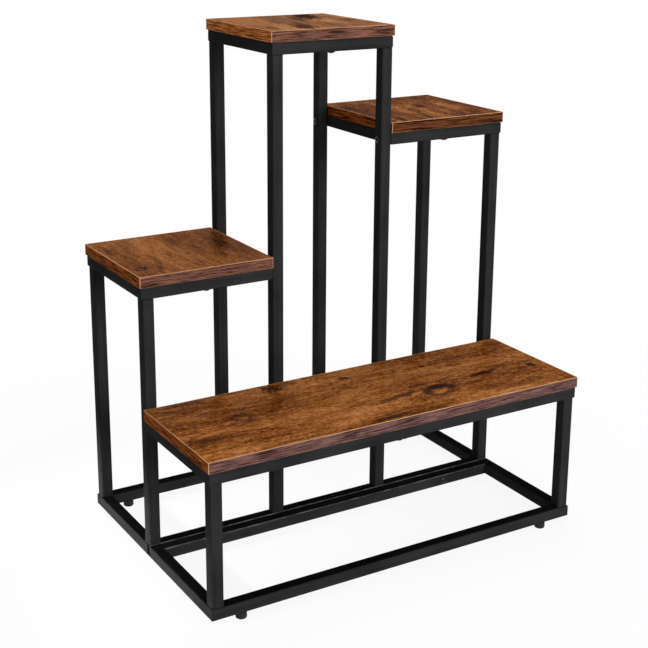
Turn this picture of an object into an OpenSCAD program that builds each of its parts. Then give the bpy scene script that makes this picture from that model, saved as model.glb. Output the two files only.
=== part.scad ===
// Tiered plant stand: a long low bench shelf in front of three towers of different height.
// Square steel tube, four laminated boards, four levelling feet. Sizes are in millimetres.
// The origin is on the floor, under the middle of the stand. X runs to the right, Y to the back.

/* [Tube] */
// Side of the square steel tube
tube = 20; // [18:0.5:25]
// Wall of the tube
wall = 1; // [0.8:0.1:1.5]
// Outer radius of the tube's corners
corner_r = 2.5; // [1.8:0.1:3]

/* [Plan] */
// Width of the left tower, and of the right tower
side_tower_w = 232; // [160:1:300]
// Width of the centre tower, over its legs
centre_tower_w = 226; // [160:1:300]
// Depth of the towers and of the rear base frame
tower_d = 226; // [160:1:300]
// Depth of the bench and of the front base frame
bench_d = 230; // [160:1:300]
// Gap between the two base frames
base_seam = 0.8; // [0.3:0.1:0.9]

/* [Legs] */
// Length of the bench's two legs
bench_leg_h = 200; // [120:1:300]
// Length of the left tower's two legs
left_leg_h = 418; // [360:1:500]
// Length of the right tower's two legs
right_leg_h = 620; // [540:1:700]
// Length of the centre tower's four legs
centre_leg_h = 782; // [740:1:900]
// How far a leg stands in from the outer edge of its frames
leg_inset = 1.5; // [0:0.1:3]
// Length of the threaded plug in each end of a leg
plug_len = 20; // [12:1:30]

/* [Boards] */
// Thickness of a board
board_t = 18; // [15:1:28]
// How far a board reaches past its frame on a free side
board_lip = 2.5; // [1:0.1:6]
// Gap between a board and the legs that it stops at
board_gap = 0.5; // [0.3:0.1:0.9]
// Thickness of the edge band round a board
band_t = 1; // [0.6:0.1:2]
// Chamfer along the outer edges of the band
band_chamfer = 0.5; // [0.2:0.1:0.6]
// Length of the threaded insert in a board
insert_len = 12; // [9:0.5:14]
// Outer diameter of the threaded insert
insert_d = 10; // [9:0.5:12]

/* [Feet] */
// Diameter of a foot's pad
foot_d = 18; // [14:0.5:24]
// Height of a foot's pad
foot_h = 11; // [9:0.5:16]
// Radius round the pad's lower edge
foot_round = 3; // [1:0.5:4]
// Depth that the stud is moulded into the pad
stud_embed = 7; // [4:0.5:7]
// Distance of a foot's axis from the end of its base frame
foot_inset = 54; // [30:1:90]
// Gap between a pad and its nut when the foot is screwed right in
foot_seat_gap = 0.3; // [0.2:0.1:0.8]
// Gap above the stud when the foot is screwed right in
stud_end_gap = 2; // [1:0.5:6]
// Barrel length of the nut that is riveted into the rail over a foot
foot_nut_len = 13; // [9:0.5:14]
// Barrel diameter of the foot's nut
foot_nut_d = 9; // [8:0.5:10]
// Flange diameter of the foot's nut
foot_flange_d = 12; // [11:0.5:14]
// Flange thickness of the foot's nut
foot_flange_t = 0.8; // [0.5:0.1:1.5]

/* [Fasteners] */
// Thread diameter of every bolt, screw and stud
thread_d = 6; // [5:0.5:6]
// Radial clearance of a thread in its nut, and of a nut or plug in its seat
fit_gap = 0.05; // [0.02:0.01:0.1]
// Diameter of the clearance holes that bolts pass through
pass_d = 6.6; // [6.4:0.1:7]
// Head diameter of the frame bolts
bolt_head_d = 12; // [10:0.5:13]
// Head height of the frame bolts
bolt_head_h = 3.4; // [2.5:0.1:4.5]
// Head diameter of the board screws
screw_head_d = 14; // [12:0.5:16]
// Head height of the board screws
screw_head_h = 3.8; // [2.5:0.1:4.5]
// Height of the straight rim of a head
head_rim = 0.8; // [0.4:0.1:1.2]
// Size of the hexagon socket across its corners
socket_d = 4.6; // [4:0.1:5]
// Depth of the hexagon socket
socket_depth = 1.8; // [1:0.1:2]
// Diameter of the hole that lets a leg bolt's head into its rail
access_d = 13.5; // [13.2:0.1:15]
// Size of a weld nut across its corners
nut_d = 11.5; // [10:0.1:12]
// Height of a weld nut
nut_h = 5; // [4:0.5:6]
// Length of a bolt's tip past its weld nut
bolt_tip = 4; // [1:0.5:5]
// Distance from the end of a screw or bolt to the end of its insert or plug
tip_gap = 2; // [0.5:0.5:3]

/* [Hidden] */
$fn = 48;
half = tube / 2;
past = 1;
bore_d = thread_d + 2 * fit_gap;
frame_w = 2 * side_tower_w + centre_tower_w;
frame_d = bench_d + tower_d;
// Outer faces of the frames
x_left = -frame_w / 2;
x_right = frame_w / 2;
x_in_left = x_left + side_tower_w;
x_in_right = x_right - side_tower_w;
y_front = -frame_d / 2;
y_mid = y_front + bench_d;
y_back = frame_d / 2;
// Heights
z_base = foot_h + foot_seat_gap + foot_flange_t;
z_leg = z_base + tube;
z_bench = z_leg + bench_leg_h;
z_left = z_leg + left_leg_h;
z_right = z_leg + right_leg_h;
z_centre = z_leg + centre_leg_h;
// Frames as [left, front, right, back, underside]
front_base = [x_left, y_front, x_right, y_mid - base_seam, z_base];
rear_base = [x_left, y_mid, x_right, y_back, z_base];
bench_top = [x_left, y_front, x_right, y_mid, z_bench];
left_top = [x_left, y_mid, x_in_left, y_back, z_left];
centre_top = [x_in_left, y_mid, x_in_right, y_back, z_centre];
right_top = [x_in_right, y_mid, x_right, y_back, z_right];
// Leg axes
leg_left_x = x_left + leg_inset + half;
leg_right_x = x_right - leg_inset - half;
leg_in_left_x = x_in_left + half;
leg_in_right_x = x_in_right - half;
leg_bench_y = y_front + leg_inset + half;
leg_mid_y = y_mid + half;
leg_rear_y = y_back - leg_inset - half;
bench_legs = [[leg_left_x, leg_bench_y], [leg_right_x, leg_bench_y]];
left_legs = [[leg_left_x, leg_mid_y], [leg_left_x, leg_rear_y]];
right_legs = [[leg_right_x, leg_mid_y], [leg_right_x, leg_rear_y]];
centre_legs = [
    [leg_in_left_x, leg_mid_y], [leg_in_left_x, leg_rear_y],
    [leg_in_right_x, leg_mid_y], [leg_in_right_x, leg_rear_y]
];
rear_base_legs = concat(left_legs, centre_legs, right_legs);
mid_leg_xs = [leg_left_x, leg_in_left_x, leg_in_right_x, leg_right_x];
side_leg_ys = [leg_mid_y, leg_rear_y];
// Places of the fasteners
base_bolt_xs = [x_left + side_tower_w / 2, x_right - side_tower_w / 2];
foot_xs = [x_left + foot_inset, x_right - foot_inset];
foot_front_y = y_front + half;
foot_rear_y = y_back - half;
screw_len = tube + insert_len - tip_gap;
leg_bolt_len = wall + plug_len - tip_gap;
side_bolt_len = tube + wall + nut_h + bolt_tip;
base_bolt_len = side_bolt_len + base_seam;
stud_len = stud_embed + foot_seat_gap + foot_flange_t + tube - wall - stud_end_gap;

// Square with round corners
module round_square(side, r) {
    square([side, side - 2 * r], center = true);
    square([side - 2 * r, side], center = true);
    for (sx = [-1, 1], sy = [-1, 1])
        translate([sx * (side / 2 - r), sy * (side / 2 - r)]) circle(r = r);
}

// Tube standing on z = 0, round the Z axis
module tube_stock(len) {
    linear_extrude(len) difference() {
        round_square(tube, corner_r);
        round_square(tube - 2 * wall, corner_r - wall);
    }
}

// Rail along X from x = 0, outer face on y = 0, underside on z = 0, mitred at both ends
module mitred_rail(len) {
    intersection() {
        translate([0, half, half]) rotate([90, 0, 90]) tube_stock(len);
        linear_extrude(tube) polygon([[0, 0], [len, 0], [len - tube, tube], [tube, tube]]);
    }
}

// One rail of a welded frame: its front, right, back or left side
module frame_rail(f, side) {
    turn = side == "front" ? 0 : side == "right" ? 1 : side == "back" ? 2 : 3;
    corners = [[f[0], f[1]], [f[2], f[1]], [f[2], f[3]], [f[0], f[3]]];
    len = turn % 2 == 0 ? f[2] - f[0] : f[3] - f[1];
    translate([corners[turn].x, corners[turn].y, f[4]]) rotate(90 * turn) mitred_rail(len);
}

// Holes for leg bolts in a top frame: a clear hole below and a hole for the head above
module top_leg_holes(z, points) {
    for (p = points) {
        translate([p.x, p.y, z - past]) cylinder(d = pass_d, h = wall + 2 * past);
        translate([p.x, p.y, z + tube - wall - past]) cylinder(d = access_d, h = wall + 2 * past);
    }
}

// The same in a base frame, where the bolts come from below
module base_leg_holes(points) {
    for (p = points) {
        translate([p.x, p.y, z_leg - wall - past]) cylinder(d = pass_d, h = wall + 2 * past);
        translate([p.x, p.y, z_base - past]) cylinder(d = access_d, h = wall + 2 * past);
    }
}

// Upright hole right through a rail
module screw_hole(x, y, z) {
    translate([x, y, z - past]) cylinder(d = pass_d, h = tube + 2 * past);
}

// Level hole along X from x, and along Y from y
module hole_x(x, y, z, len) {
    translate([x - past, y, z]) rotate([0, 90, 0]) cylinder(d = pass_d, h = len + 2 * past);
}
module hole_y(x, y, z, len) {
    translate([x, y - past, z]) rotate([-90, 0, 0]) cylinder(d = pass_d, h = len + 2 * past);
}

// Rail of a top frame: leg holes, and a board screw hole in the front and back rails
module top_rail(f, side, points) {
    mid_x = (f[0] + f[2]) / 2;
    color([0.13, 0.13, 0.14]) difference() {
        frame_rail(f, side);
        top_leg_holes(f[4], points);
        if (side == "front") screw_hole(mid_x, f[1] + half, f[4]);
        if (side == "back") screw_hole(mid_x, f[3] - half, f[4]);
    }
}

// Rail of a base frame: leg holes, and foot holes where it has feet
module base_rail(f, side, points, feet_y) {
    color([0.13, 0.13, 0.14]) difference() {
        frame_rail(f, side);
        base_leg_holes(points);
        for (x = foot_xs)
            translate([x, feet_y, z_base - past])
                cylinder(d = foot_nut_d + 2 * fit_gap, h = wall + 2 * past);
    }
}

// Leg round its axis, on top of the base frame
module leg(p, h) {
    translate([p.x, p.y, z_leg]) tube_stock(h);
}
module plain_leg(p, h) {
    color([0.15, 0.15, 0.16]) leg(p, h);
}

// Front leg of a tower, drilled for the bench bolt
module front_leg(p, h) {
    color([0.15, 0.15, 0.16]) difference() {
        leg(p, h);
        hole_y(p.x, p.y - half, z_bench + half, tube);
    }
}

// Leg of the centre tower, drilled for the bolt into the side tower's frame
module centre_leg(p, z_side) {
    difference() {
        leg(p, centre_leg_h);
        hole_x(p.x - half, p.y, z_side + half, tube);
    }
}
module centre_front_leg(p, z_side) {
    color([0.15, 0.15, 0.16]) difference() {
        centre_leg(p, z_side);
        hole_y(p.x, p.y - half, z_bench + half, tube);
    }
}

// Board on its frame; box is [left, front, right, back, underside] over the edge band
module board_core(box, frame) {
    mid_x = (frame[0] + frame[2]) / 2;
    size = [box[2] - box[0] - 2 * band_t, box[3] - box[1] - 2 * band_t, board_t];
    color([0.56, 0.31, 0.15]) difference() {
        translate([box[0] + band_t, box[1] + band_t, box[4]]) cube(size);
        for (y = [frame[1] + half, frame[3] - half])
            translate([mid_x, y, box[4] - past])
                cylinder(d = insert_d + 2 * fit_gap, h = insert_len + past);
    }
}

// Outline of a slab of size a by b, chamfered by c
module chamfered(a, b, c) {
    polygon([[c, 0], [a - c, 0], [a, c], [a, b - c], [a - c, b], [c, b], [0, b - c], [0, c]]);
}

// Slab with all its outer edges chamfered
module chamfered_slab(a, b, t, c) {
    intersection() {
        linear_extrude(t) chamfered(a, b, c);
        translate([0, b, 0]) rotate([90, 0, 0]) linear_extrude(b) chamfered(a, t, c);
        rotate([90, 0, 90]) linear_extrude(a) chamfered(b, t, c);
    }
}

// Edge band, glued all round the board
module edge_band(box) {
    a = box[2] - box[0];
    b = box[3] - box[1];
    core = [a - 2 * band_t, b - 2 * band_t, board_t + 2 * past];
    color([0.42, 0.26, 0.19]) translate([box[0], box[1], box[4]]) difference() {
        chamfered_slab(a, b, board_t, band_chamfer);
        translate([band_t, band_t, -past]) cube(core);
    }
}
bench_box = [
    x_left - board_lip, y_front - board_lip, x_right + board_lip, y_mid - board_gap, z_bench + tube
];
left_box = [
    x_left - board_lip, y_mid - board_lip, x_in_left - board_gap, y_back + board_lip, z_left + tube
];
centre_box = [
    x_in_left - board_lip, y_mid - board_lip, x_in_right + board_lip, y_back + board_lip, z_centre + tube
];
right_box = [
    x_in_right + board_gap, y_mid - board_lip, x_right + board_lip, y_back + board_lip, z_right + tube
];

// Low domed head below z = 0, with a hexagon socket
module domed_head(d, h) {
    rise = h - head_rim;
    dome_r = (d * d / 4 + rise * rise) / (2 * rise);
    difference() {
        intersection() {
            translate([0, 0, -h]) cylinder(d = d, h = h);
            translate([0, 0, dome_r - h]) sphere(r = dome_r);
        }
        translate([0, 0, -h - past]) cylinder(d = socket_d, h = socket_depth + past, $fn = 6);
    }
}

// Bolt along +Z with its head's seat on z = 0
module bolt(len, head_d, head_h) {
    color([0.2, 0.2, 0.21]) union() {
        domed_head(head_d, head_h);
        translate([0, 0, -head_rim]) cylinder(d = thread_d, h = len + head_rim);
    }
}

// Weld nut on z = 0, round the Z axis
module weld_nut() {
    color([0.6, 0.6, 0.6]) difference() {
        cylinder(d = nut_d, h = nut_h, $fn = 6);
        translate([0, 0, -past]) cylinder(d = bore_d, h = nut_h + 2 * past);
    }
}

// Threaded plug in the end of a leg, on z = 0
module leg_plug() {
    color([0.3, 0.3, 0.3]) difference() {
        linear_extrude(plug_len) round_square(tube - 2 * wall - 2 * fit_gap, corner_r - wall);
        translate([0, 0, -past]) cylinder(d = bore_d, h = plug_len + 2 * past);
    }
}

// Leg tops as [x, y, underside of the top frame]
leg_tops = [
    for (p = bench_legs) [p.x, p.y, z_bench],
    for (p = left_legs) [p.x, p.y, z_left],
    for (p = centre_legs) [p.x, p.y, z_centre],
    for (p = right_legs) [p.x, p.y, z_right]
];

// Board screws and inserts as [x, y, underside of the rail]
screw_places = [
    for (f = [bench_top, left_top, centre_top, right_top], y = [f[1] + half, f[3] - half])
        [(f[0] + f[2]) / 2, y, f[4]]
];

// Pad of a levelling foot, on the floor, moulded round its stud
module foot_pad(x, y) {
    color([0.1, 0.1, 0.1]) translate([x, y, 0]) difference() {
        rotate_extrude() {
            square([foot_d / 2 - foot_round, foot_h]);
            translate([0, foot_round]) square([foot_d / 2, foot_h - foot_round]);
            translate([foot_d / 2 - foot_round, foot_round]) circle(r = foot_round);
        }
        translate([0, 0, foot_h - stud_embed]) cylinder(d = thread_d, h = stud_embed + past);
    }
}
module foot_stud(x, y) {
    color([0.6, 0.6, 0.6]) translate([x, y, foot_h - stud_embed]) cylinder(d = thread_d, h = stud_len);
}

module bench_board() board_core(bench_box, bench_top);
module left_board() board_core(left_box, left_top);
module centre_board() board_core(centre_box, centre_top);
module right_board() board_core(right_box, right_top);
module bench_edge_band() edge_band(bench_box);
module left_edge_band() edge_band(left_box);
module centre_edge_band() edge_band(centre_box);
module right_edge_band() edge_band(right_box);

module bench_top_rail_front() top_rail(bench_top, "front", bench_legs);
module bench_top_rail_right() top_rail(bench_top, "right", bench_legs);
module bench_top_rail_left() top_rail(bench_top, "left", bench_legs);
module bench_top_rail_back() {
    difference() {
        top_rail(bench_top, "back", []);
        for (x = mid_leg_xs) hole_y(x, y_mid - wall, z_bench + half, wall);
    }
}
module left_top_rail_front() top_rail(left_top, "front", left_legs);
module left_top_rail_back() top_rail(left_top, "back", left_legs);
module left_top_rail_left() top_rail(left_top, "left", left_legs);
module left_top_rail_right() {
    difference() {
        top_rail(left_top, "right", []);
        for (y = side_leg_ys) hole_x(x_in_left - wall, y, z_left + half, wall);
    }
}
module centre_top_rail_front() top_rail(centre_top, "front", centre_legs);
module centre_top_rail_right() top_rail(centre_top, "right", centre_legs);
module centre_top_rail_back() top_rail(centre_top, "back", centre_legs);
module centre_top_rail_left() top_rail(centre_top, "left", centre_legs);
module right_top_rail_front() top_rail(right_top, "front", right_legs);
module right_top_rail_back() top_rail(right_top, "back", right_legs);
module right_top_rail_right() top_rail(right_top, "right", right_legs);
module right_top_rail_left() {
    difference() {
        top_rail(right_top, "left", []);
        for (y = side_leg_ys) hole_x(x_in_right, y, z_right + half, wall);
    }
}

module front_base_rail_front() base_rail(front_base, "front", bench_legs, foot_front_y);
module front_base_rail_right() base_rail(front_base, "right", bench_legs, foot_front_y);
module front_base_rail_left() base_rail(front_base, "left", bench_legs, foot_front_y);
module front_base_rail_back() {
    difference() {
        base_rail(front_base, "back", [], foot_front_y);
        for (x = base_bolt_xs) hole_y(x, y_mid - base_seam - tube, z_base + half, tube);
    }
}
module rear_base_rail_right() base_rail(rear_base, "right", rear_base_legs, foot_rear_y);
module rear_base_rail_back() base_rail(rear_base, "back", rear_base_legs, foot_rear_y);
module rear_base_rail_left() base_rail(rear_base, "left", rear_base_legs, foot_rear_y);
module rear_base_rail_front() {
    difference() {
        base_rail(rear_base, "front", rear_base_legs, foot_rear_y);
        for (x = base_bolt_xs) hole_y(x, y_mid, z_base + half, wall);
    }
}

module bench_leg_left() plain_leg(bench_legs[0], bench_leg_h);
module bench_leg_right() plain_leg(bench_legs[1], bench_leg_h);
module left_leg_front() front_leg(left_legs[0], left_leg_h);
module left_leg_rear() plain_leg(left_legs[1], left_leg_h);
module centre_leg_front_left() centre_front_leg(centre_legs[0], z_left);
module centre_leg_rear_left() color([0.15, 0.15, 0.16]) centre_leg(centre_legs[1], z_left);
module centre_leg_front_right() centre_front_leg(centre_legs[2], z_right);
module centre_leg_rear_right() color([0.15, 0.15, 0.16]) centre_leg(centre_legs[3], z_right);
module right_leg_front() front_leg(right_legs[0], right_leg_h);
module right_leg_rear() plain_leg(right_legs[1], right_leg_h);

module leg_plugs() {
    for (p = leg_tops) {
        translate([p.x, p.y, p.z - plug_len]) leg_plug();
        translate([p.x, p.y, z_leg]) leg_plug();
    }
}
module leg_bolts() {
    for (p = leg_tops) {
        translate([p.x, p.y, p.z + wall]) rotate([180, 0, 0])
            bolt(leg_bolt_len, bolt_head_d, bolt_head_h);
        translate([p.x, p.y, z_leg - wall]) bolt(leg_bolt_len, bolt_head_d, bolt_head_h);
    }
}
module board_screws() for (p = screw_places) translate(p) bolt(screw_len, screw_head_d, screw_head_h);
module board_inserts() {
    color([0.6, 0.6, 0.6]) for (p = screw_places) translate([p.x, p.y, p.z + tube]) difference() {
        cylinder(d = insert_d, h = insert_len);
        translate([0, 0, -past]) cylinder(d = bore_d, h = insert_len + 2 * past);
    }
}
module tower_bolts() {
    for (y = side_leg_ys) {
        translate([x_in_left + tube, y, z_left + half]) rotate([0, -90, 0])
            bolt(side_bolt_len, bolt_head_d, bolt_head_h);
        translate([x_in_right - tube, y, z_right + half]) rotate([0, 90, 0])
            bolt(side_bolt_len, bolt_head_d, bolt_head_h);
    }
}
module bench_bolts() {
    for (x = mid_leg_xs)
        translate([x, y_mid + tube, z_bench + half]) rotate([90, 0, 0])
            bolt(side_bolt_len, bolt_head_d, bolt_head_h);
}
module base_bolts() {
    for (x = base_bolt_xs)
        translate([x, y_mid - base_seam - tube, z_base + half]) rotate([-90, 0, 0])
            bolt(base_bolt_len, bolt_head_d, bolt_head_h);
}
module weld_nuts() {
    for (y = side_leg_ys) {
        translate([x_in_left - wall, y, z_left + half]) rotate([0, -90, 0]) weld_nut();
        translate([x_in_right + wall, y, z_right + half]) rotate([0, 90, 0]) weld_nut();
    }
    for (x = mid_leg_xs) translate([x, y_mid - wall, z_bench + half]) rotate([90, 0, 0]) weld_nut();
    for (x = base_bolt_xs) translate([x, y_mid + wall, z_base + half]) rotate([-90, 0, 0]) weld_nut();
}
module foot_nuts() {
    color([0.6, 0.6, 0.6]) for (x = foot_xs, y = [foot_front_y, foot_rear_y])
        translate([x, y, z_base]) difference() {
            union() {
                translate([0, 0, -foot_flange_t]) cylinder(d = foot_flange_d, h = foot_flange_t);
                translate([0, 0, -foot_flange_t]) cylinder(d = foot_nut_d, h = foot_flange_t + foot_nut_len);
            }
            translate([0, 0, -foot_flange_t - past])
                cylinder(d = bore_d, h = foot_flange_t + foot_nut_len + 2 * past);
        }
}
module foot_pad_front_left() foot_pad(foot_xs[0], foot_front_y);
module foot_pad_front_right() foot_pad(foot_xs[1], foot_front_y);
module foot_pad_rear_left() foot_pad(foot_xs[0], foot_rear_y);
module foot_pad_rear_right() foot_pad(foot_xs[1], foot_rear_y);
module foot_stud_front_left() foot_stud(foot_xs[0], foot_front_y);
module foot_stud_front_right() foot_stud(foot_xs[1], foot_front_y);
module foot_stud_rear_left() foot_stud(foot_xs[0], foot_rear_y);
module foot_stud_rear_right() foot_stud(foot_xs[1], foot_rear_y);

bench_board();
left_board();
centre_board();
right_board();
bench_edge_band();
left_edge_band();
centre_edge_band();
right_edge_band();
bench_top_rail_front();
bench_top_rail_right();
bench_top_rail_back();
bench_top_rail_left();
left_top_rail_front();
left_top_rail_right();
left_top_rail_back();
left_top_rail_left();
centre_top_rail_front();
centre_top_rail_right();
centre_top_rail_back();
centre_top_rail_left();
right_top_rail_front();
right_top_rail_right();
right_top_rail_back();
right_top_rail_left();
front_base_rail_front();
front_base_rail_right();
front_base_rail_back();
front_base_rail_left();
rear_base_rail_front();
rear_base_rail_right();
rear_base_rail_back();
rear_base_rail_left();
bench_leg_left();
bench_leg_right();
left_leg_front();
left_leg_rear();
centre_leg_front_left();
centre_leg_rear_left();
centre_leg_front_right();
centre_leg_rear_right();
right_leg_front();
right_leg_rear();
leg_plugs();
leg_bolts();
board_screws();
board_inserts();
tower_bolts();
bench_bolts();
base_bolts();
weld_nuts();
foot_nuts();
foot_pad_front_left();
foot_pad_front_right();
foot_pad_rear_left();
foot_pad_rear_right();
foot_stud_front_left();
foot_stud_front_right();
foot_stud_rear_left();
foot_stud_rear_right();
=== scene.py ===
import math
import bpy
from mathutils import Matrix, Vector


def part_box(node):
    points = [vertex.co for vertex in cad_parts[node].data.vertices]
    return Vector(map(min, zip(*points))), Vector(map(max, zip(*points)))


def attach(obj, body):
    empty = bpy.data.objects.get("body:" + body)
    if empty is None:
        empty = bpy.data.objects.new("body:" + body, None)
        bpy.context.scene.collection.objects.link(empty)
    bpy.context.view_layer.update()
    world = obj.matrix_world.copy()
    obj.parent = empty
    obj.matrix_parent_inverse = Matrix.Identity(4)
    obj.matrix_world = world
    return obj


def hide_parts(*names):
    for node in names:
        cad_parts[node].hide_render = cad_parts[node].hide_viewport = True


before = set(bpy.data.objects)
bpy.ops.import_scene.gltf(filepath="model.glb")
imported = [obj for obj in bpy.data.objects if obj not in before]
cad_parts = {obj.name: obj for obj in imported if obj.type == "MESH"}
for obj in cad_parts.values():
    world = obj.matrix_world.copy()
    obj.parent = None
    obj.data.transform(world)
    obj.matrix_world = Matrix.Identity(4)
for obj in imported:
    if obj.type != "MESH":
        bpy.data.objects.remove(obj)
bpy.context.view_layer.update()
scene = bpy.context.scene
MM = 0.001

# View and studio
# The camera stands to the left of the bench, a little above the tallest shelf.
# Soft boxes light the stand on a white floor, which keeps a faint shadow.
IMAGE_PX = 648
FOCAL_PX = 1314.9
SENSOR_MM = 36
CAMERA_AT = Vector((-1.1021, -1.8012, 1.0624))
LOOK_AZ = math.radians(-31.05)
LOOK_DOWN = math.radians(15.40)
CAMERA_ROLL = math.radians(0.385)
CAMERA_SHIFT = -0.11
CLIP_START = 50 * MM


def in_scene(name, data):
    """A new object in the scene, on a mesh, a camera or a lamp."""
    made = bpy.data.objects.new(name, data)
    scene.collection.objects.link(made)
    return made


forward = Vector((-math.sin(LOOK_AZ) * math.cos(LOOK_DOWN),
                  math.cos(LOOK_AZ) * math.cos(LOOK_DOWN), -math.sin(LOOK_DOWN)))
level_right = forward.cross(Vector((0, 0, 1))).normalized()
level_up = level_right.cross(forward)
right = level_right * math.cos(CAMERA_ROLL) + level_up * math.sin(CAMERA_ROLL)
up = level_up * math.cos(CAMERA_ROLL) - level_right * math.sin(CAMERA_ROLL)
camera_data = bpy.data.cameras.new("camera")
camera_data.sensor_width = SENSOR_MM
camera_data.lens = FOCAL_PX / IMAGE_PX * SENSOR_MM
camera_data.shift_y = CAMERA_SHIFT
camera_data.clip_start = CLIP_START
camera = in_scene("camera", camera_data)
camera.matrix_world = Matrix.Translation(CAMERA_AT) @ Matrix((right, up, -forward)).transposed().to_4x4()
scene.camera = camera
scene.view_settings.view_transform = "Standard"


def give(tree, socket, value):
    """Links the input to an output, or sets it to a plain value."""
    if isinstance(value, bpy.types.NodeSocket):
        tree.links.new(value, socket)
    else:
        socket.default_value = value


def feed(tree, made, **values):
    """Gives a node its values: one named like an input goes to that input, and any other to the node."""
    for key, value in values.items():
        socket = made.inputs.get(key.replace("_", " "))
        if socket is not None and socket.enabled:
            give(tree, socket, value)
        else:
            setattr(made, key, value)


def node(tree, kind, at, **values):
    """Adds a node at a place in its tree, with its values."""
    made = tree.nodes.new(kind)
    made.location = at
    feed(tree, made, **values)
    return made


def maths(tree, operation, at, *values, clamp=False):
    """A Math node on outputs or numbers. Returns its output."""
    made = node(tree, "ShaderNodeMath", at, operation=operation, use_clamp=clamp)
    for socket, value in zip(made.inputs, values):
        give(tree, socket, value)
    return made.outputs[0]


def vector_maths(tree, operation, at, *values, scale=None):
    """A Vector Math node on outputs or vectors; scale is an output. Returns its output."""
    made = node(tree, "ShaderNodeVectorMath", at, operation=operation)
    for socket, value in zip(made.inputs, values):
        give(tree, socket, value)
    if scale is not None:
        give(tree, made.inputs["Scale"], scale)
    return made.outputs["Value" if operation == "LENGTH" else "Vector"]


def spread(tree, at, value, low, high, to_low=0.0, to_high=1.0, kind="SMOOTHSTEP"):
    """Turns value from low..high into to_low..to_high, smoothly and clamped."""
    made = node(tree, "ShaderNodeMapRange", at, interpolation_type=kind, clamp=True, Value=value,
                From_Min=low, From_Max=high, To_Min=to_low, To_Max=to_high)
    return made.outputs[0]


def seen_white(tree, at):
    """1 where a camera, glossy or transmission ray arrives, which then meets plain white."""
    path = node(tree, "ShaderNodeLightPath", at).outputs
    glossy = maths(tree, "MAXIMUM", (at[0] + 200, at[1]), path["Is Camera Ray"], path["Is Glossy Ray"])
    return maths(tree, "MAXIMUM", (at[0] + 400, at[1]), glossy, path["Is Transmission Ray"])


def mixed_out(tree, out_kind, share, lit, plain):
    """Ends a tree in a mix of its lit shader and its plain white one."""
    mix = node(tree, "ShaderNodeMixShader", (250, 0))
    for socket, value in zip(mix.inputs, (share, lit.outputs[0], plain.outputs[0])):
        give(tree, socket, value)
    node(tree, out_kind, (450, 0), Surface=mix.outputs[0])


# A faint even light from all round; the camera and reflections see plain white there.
WHITE = (1, 1, 1, 1)
AMBIENT = 0.15
world = bpy.data.worlds.new("studio")
scene.world = world
world.use_nodes = True
world_tree = world.node_tree
world_tree.nodes.clear()
ambient = node(world_tree, "ShaderNodeBackground", (0, 0), Color=WHITE, Strength=AMBIENT)
white = node(world_tree, "ShaderNodeBackground", (0, -150), Color=WHITE, Strength=1.0)
mixed_out(world_tree, "ShaderNodeOutputWorld", seen_white(world_tree, (-600, 200)), ambient, white)

# The floor shows a little less of its own white as far as the shadow reaches, and all of it from its end.
HALF_FLOOR = 20.0
FLOOR_PAINT = (0.9, 0.9, 0.9, 1)
NEAR_GLOW = 0.90
SHADOW_REACH = 0.55
SHADOW_END = 1.25
floor_mesh = bpy.data.meshes.new("floor")
floor_corners = [(x * HALF_FLOOR, y * HALF_FLOOR, 0) for x, y in ((-1, -1), (1, -1), (1, 1), (-1, 1))]
floor_mesh.from_pydata(floor_corners, [], [(0, 1, 2, 3)])
floor = in_scene("floor", floor_mesh)
floor_paint = bpy.data.materials.new("floor_paint")
floor_paint.use_nodes = True
floor_tree = floor_paint.node_tree
floor_tree.nodes.clear()
floor_coords = node(floor_tree, "ShaderNodeTexCoord", (-900, 0))
from_middle = vector_maths(floor_tree, "LENGTH", (-700, 0), floor_coords.outputs["Object"])
glow = spread(floor_tree, (-450, 0), from_middle, SHADOW_REACH, SHADOW_END, NEAR_GLOW, 1.0)
glow_share = maths(floor_tree, "MULTIPLY", (0, 150), seen_white(floor_tree, (-700, 300)), glow)
floor_matte = node(floor_tree, "ShaderNodeBsdfDiffuse", (0, 0), Color=FLOOR_PAINT)
floor_glow = node(floor_tree, "ShaderNodeEmission", (0, -150), Color=WHITE, Strength=1.0)
mixed_out(floor_tree, "ShaderNodeOutputMaterial", glow_share, floor_matte, floor_glow)
floor_mesh.materials.append(floor_paint)


def soft_box(name, at, size, watts, aim=(0, 0, 0.4), beam=180, mirrored=True):
    """A rectangular lamp aimed at a point; beam is its spread in degrees, and mirrored shows it in gloss."""
    data = bpy.data.lights.new(name, "AREA")
    data.shape = "RECTANGLE"
    data.size, data.size_y = size
    data.energy = watts
    data.spread = math.radians(beam)
    lamp = in_scene(name, data)
    lamp.location = at
    lamp.rotation_mode = "QUATERNION"
    lamp.rotation_quaternion = (Vector(at) - Vector(aim)).to_track_quat("Z", "Y")
    lamp.visible_glossy = mirrored


# Places and sizes in metres, then watts. The low box is a narrow beam on the left base rails.
soft_box("front_box", (0.9, -3.4, 1.5), (2.4, 1.8), 104)
soft_box("left_box", (-3.3, -0.7, 0.9), (1.8, 1.2), 2.5)
soft_box("low_left_box", (-1.5, 0.11, 0.45), (0.62, 0.05), 0.65, aim=(-0.345, 0.08, 0.03), beam=14)
soft_box("top_box", (0.2, 0.3, 3.3), (2.4, 2.4), 55)
soft_box("back_box", (0.8, 3.3, 1.0), (2.4, 1.4), 56, mirrored=False)
soft_box("right_box", (3.4, 0.5, 0.8), (1.6, 1.0), 14, mirrored=False)

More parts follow.
